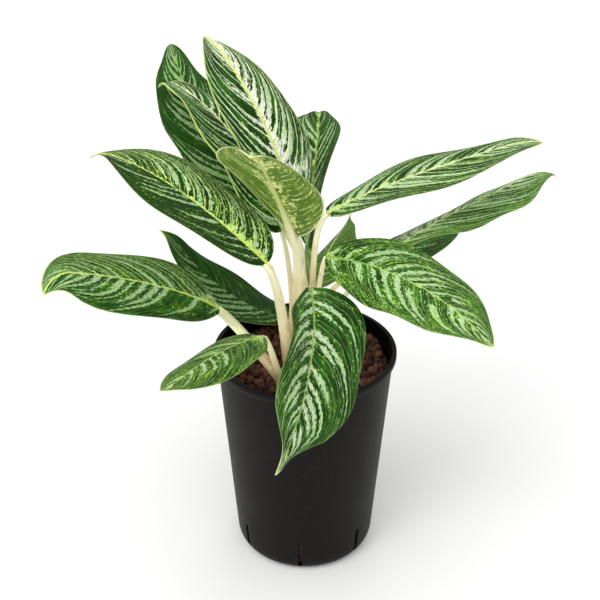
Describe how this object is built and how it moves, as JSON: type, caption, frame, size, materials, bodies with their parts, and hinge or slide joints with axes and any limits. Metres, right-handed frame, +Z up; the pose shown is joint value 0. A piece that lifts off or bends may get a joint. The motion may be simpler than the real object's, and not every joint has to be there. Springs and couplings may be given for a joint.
{
  "type": "potted chinese evergreen",
  "caption": "Potted leafy house plant with long variegated blades on pale stalks, set in clay pebbles in a tapered slitted culture pot that stands on a flat surface.",
  "frame": {"origin": "centre of the pot's flat base, on the surface it stands on", "axes": "+Z up along the pot's axis; the pictured front faces -Y, with +X to the viewer's right"},
  "size_m": [0.3817, 0.3749, 0.4371],
  "materials": {
    "pot": "satin",
    "fired_clay": "matte",
    "stalk": "satin",
    "leaf": "satin"
  },
  "bodies": {
    "root": {"culture_pot": "pot", "clay_pebbles": "fired_clay", "shoot_main": "stalk", "shoot_left": "stalk", "shoot_right": "stalk", "blade_crown": "leaf", "blade_back_left": "leaf", "blade_upper_left": "leaf", "blade_left": "leaf", "blade_underside": "leaf", "blade_back_centre": "leaf", "blade_right_upper": "leaf", "blade_right_middle": "leaf", "blade_right_shaded": "leaf", "blade_right_front": "leaf", "blade_front": "leaf", "blade_small_front": "leaf", "blade_left_lower": "leaf", "blade_back_lower": "leaf", "blade_back_right": "leaf"}
  },
  "joints": []
}
